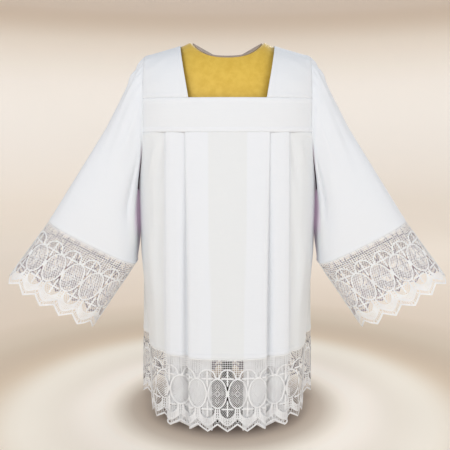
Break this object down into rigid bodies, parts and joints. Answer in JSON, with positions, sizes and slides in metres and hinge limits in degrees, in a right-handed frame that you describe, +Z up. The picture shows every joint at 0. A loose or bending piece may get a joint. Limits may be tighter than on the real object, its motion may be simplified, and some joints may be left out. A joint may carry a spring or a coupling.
{
  "type": "surplice on a dress form",
  "caption": "Pleated white surplice with a square neck, wide open sleeves and deep scalloped lace at hem and cuffs, filled out on a limbless dress form with a round base.",
  "frame": {"origin": "on the floor, below the middle of the bounding box, where the round base stands", "axes": "+Z up, +X to the right seen from the front, -Y towards the front of the garment"},
  "size_m": [1.13, 0.4212, 0.965],
  "materials": {
    "cloth": "smooth white cotton blend, matt",
    "lace": "white machine lace, matt",
    "gold_fabric": "gold woven cover, soft sheen",
    "neck_cap": "pale, matt",
    "stand": "dark satin paint"
  },
  "bodies": {
    "root": {"yoke_front": "cloth", "yoke_back": "cloth", "strap_left": "cloth", "strap_right": "cloth", "body_front": "cloth", "body_back": "cloth", "sleeve_left": "cloth", "sleeve_right": "cloth", "hem_lace_front": "lace", "hem_lace_back": "lace", "cuff_lace_left_front": "lace", "cuff_lace_left_back": "lace", "cuff_lace_right_front": "lace", "cuff_lace_right_back": "lace", "form_torso": "gold_fabric", "form_neck_cap": "neck_cap", "stand_pole": "stand", "stand_base": "stand"}
  },
  "joints": []
}
